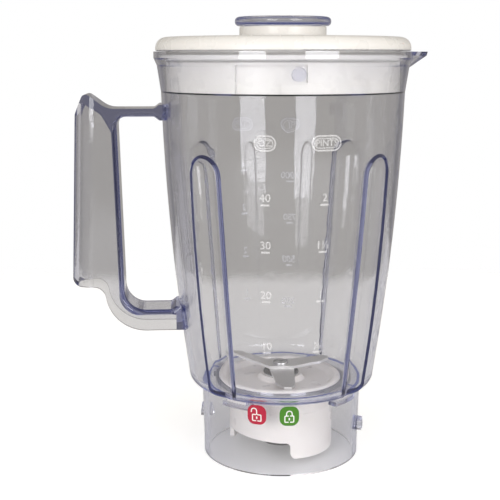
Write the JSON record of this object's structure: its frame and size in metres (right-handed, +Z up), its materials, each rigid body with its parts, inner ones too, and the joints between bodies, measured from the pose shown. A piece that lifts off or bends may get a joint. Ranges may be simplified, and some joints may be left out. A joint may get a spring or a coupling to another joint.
{
  "type": "blender jar",
  "caption": "Clear countertop blender jar with handle, spout and collar, turn-to-lock lid with measuring cap, and a twist-out blade unit with crossed blades.",
  "frame": {"origin": "on the jar's axis at the lower edge of the collar it stands on", "axes": "+Z up along the jar's axis, -X to the handle, +X to the spout, -Y to the front with the lock positions"},
  "size_m": [0.202, 0.144, 0.2513],
  "materials": {
    "clear_plastic": "clear, smooth",
    "white_plastic": "smooth, semi-gloss",
    "white_silicone": "satin",
    "holder_plastic": "smooth, semi-gloss",
    "grey_rubber": "satin",
    "dark_plastic": "matt",
    "spring_steel": "dark",
    "bronze": "turned",
    "steel": "turned",
    "blade_steel": "fine brushed"
  },
  "bodies": {
    "vessel": {"jar": "clear_plastic", "handle": "clear_plastic", "base_collar": "clear_plastic"},
    "lid": {"lid": "white_plastic", "lid_seal": "white_silicone"},
    "cap": {"measuring_cap": "clear_plastic"},
    "blade_unit": {"blade_holder": "holder_plastic", "holder_gasket": "grey_rubber", "bearing_hub": "dark_plastic", "hub_gasket": "grey_rubber", "hub_lock_ring": "spring_steel", "upper_bush": "bronze", "lower_bush": "bronze", "shaft_seal": "grey_rubber"},
    "blades": {"blade_shaft": "steel", "top_washer": "steel", "bottom_washer": "steel", "shaft_clip": "spring_steel", "lower_blade": "blade_steel", "upper_blade": "blade_steel", "drive_coupling": "dark_plastic", "coupling_insert": "bronze"}
  },
  "joints": [
    {"name": "lid_turn", "type": "hinge", "parent": "vessel", "child": "lid", "pos_m": [0, 0, 0.235], "axis": [0, 0, 1], "range_deg": [0, 22]},
    {"name": "cap_lift", "type": "slide", "parent": "lid", "child": "cap", "axis": [0, 0, 1], "range_m": [0, 0.04]},
    {"name": "unit_turn", "type": "hinge", "parent": "vessel", "child": "blade_unit", "pos_m": [0, 0, 0.04], "axis": [0, 0, 1], "range_deg": [-22.5, 0]},
    {"name": "blade_spin", "type": "hinge", "parent": "blade_unit", "child": "blades", "pos_m": [0, 0, 0.05], "axis": [0, 0, 1], "continuous": true}
  ]
}
